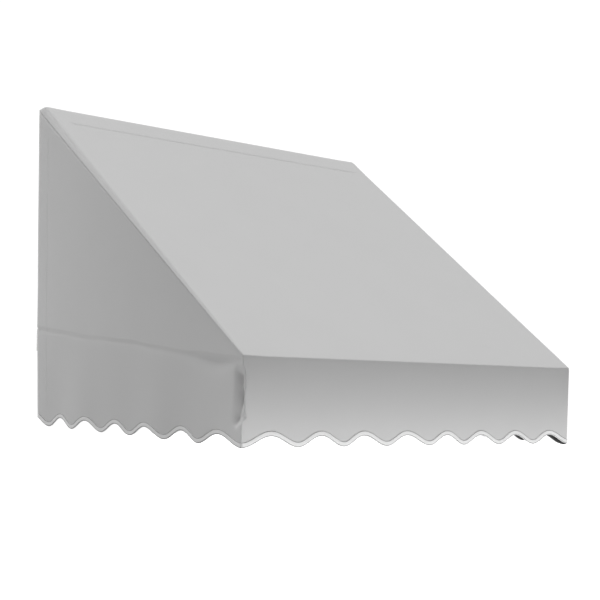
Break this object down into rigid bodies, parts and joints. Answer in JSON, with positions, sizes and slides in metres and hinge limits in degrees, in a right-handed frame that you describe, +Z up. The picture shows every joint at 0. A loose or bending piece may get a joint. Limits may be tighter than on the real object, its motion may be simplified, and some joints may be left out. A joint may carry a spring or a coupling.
{
  "type": "fabric awning",
  "caption": "Fixed-frame fabric awning: a sloping cloth roof, closed sides and a scalloped valance over a wedge of metal tube, fixed to a wall above a window or door.",
  "frame": {"origin": "the middle of the middle head bracket's back face, in the wall's plane and level with the head rail's axis", "axes": "+X along the wall to the right as seen from the street, +Y square into the wall, +Z up; the awning stands out along -Y"},
  "size_m": [1.2222, 0.9711, 0.9348],
  "materials": {
    "cover_cloth": "light grey woven awning cloth, matt",
    "binding": "paler woven edge tape, stitched",
    "webbing": "dark hook-and-loop strap",
    "tube": "galvanised, satin with a faint spangle",
    "castings": "die-cast, fine matt grain",
    "brackets": "extruded, satin, cut lengths",
    "screws": "bright zinc plate"
  },
  "bodies": {
    "root": {"front_bar": "tube", "front_bar_screw_a": "screws", "front_bar_screw_b": "screws", "front_bar_strap_left": "webbing", "front_bar_strap_middle": "webbing", "front_bar_strap_right": "webbing", "head_bracket_left": "brackets", "head_bracket_left_screw": "screws", "head_bracket_middle": "brackets", "head_bracket_middle_screw": "screws", "head_bracket_right": "brackets", "head_bracket_right_screw": "screws", "head_rail": "tube", "head_rail_screw_a": "screws", "head_rail_screw_b": "screws", "hem_binding": "binding", "left_arm": "tube", "left_arm_screw_a": "screws", "left_arm_screw_b": "screws", "left_arm_strap_front": "webbing", "left_arm_strap_rear": "webbing", "left_front_corner": "castings", "left_head_corner": "castings", "left_rafter": "tube", "left_rafter_screw_a": "screws", "left_rafter_screw_b": "screws", "left_upright": "tube", "left_upright_screw_a": "screws", "left_upright_screw_b": "screws", "left_upright_strap_middle": "webbing", "left_wall_foot": "castings", "left_wing": "cover_cloth", "right_arm": "tube", "right_arm_screw_a": "screws", "right_arm_screw_b": "screws", "right_arm_strap_front": "webbing", "right_arm_strap_rear": "webbing", "right_front_corner": "castings", "right_head_corner": "castings", "right_rafter": "tube", "right_rafter_screw_a": "screws", "right_rafter_screw_b": "screws", "right_upright": "tube", "right_upright_screw_a": "screws", "right_upright_screw_b": "screws", "right_upright_strap_middle": "webbing", "right_wall_foot": "castings", "right_wing": "cover_cloth", "top_panel": "cover_cloth"}
  },
  "joints": []
}
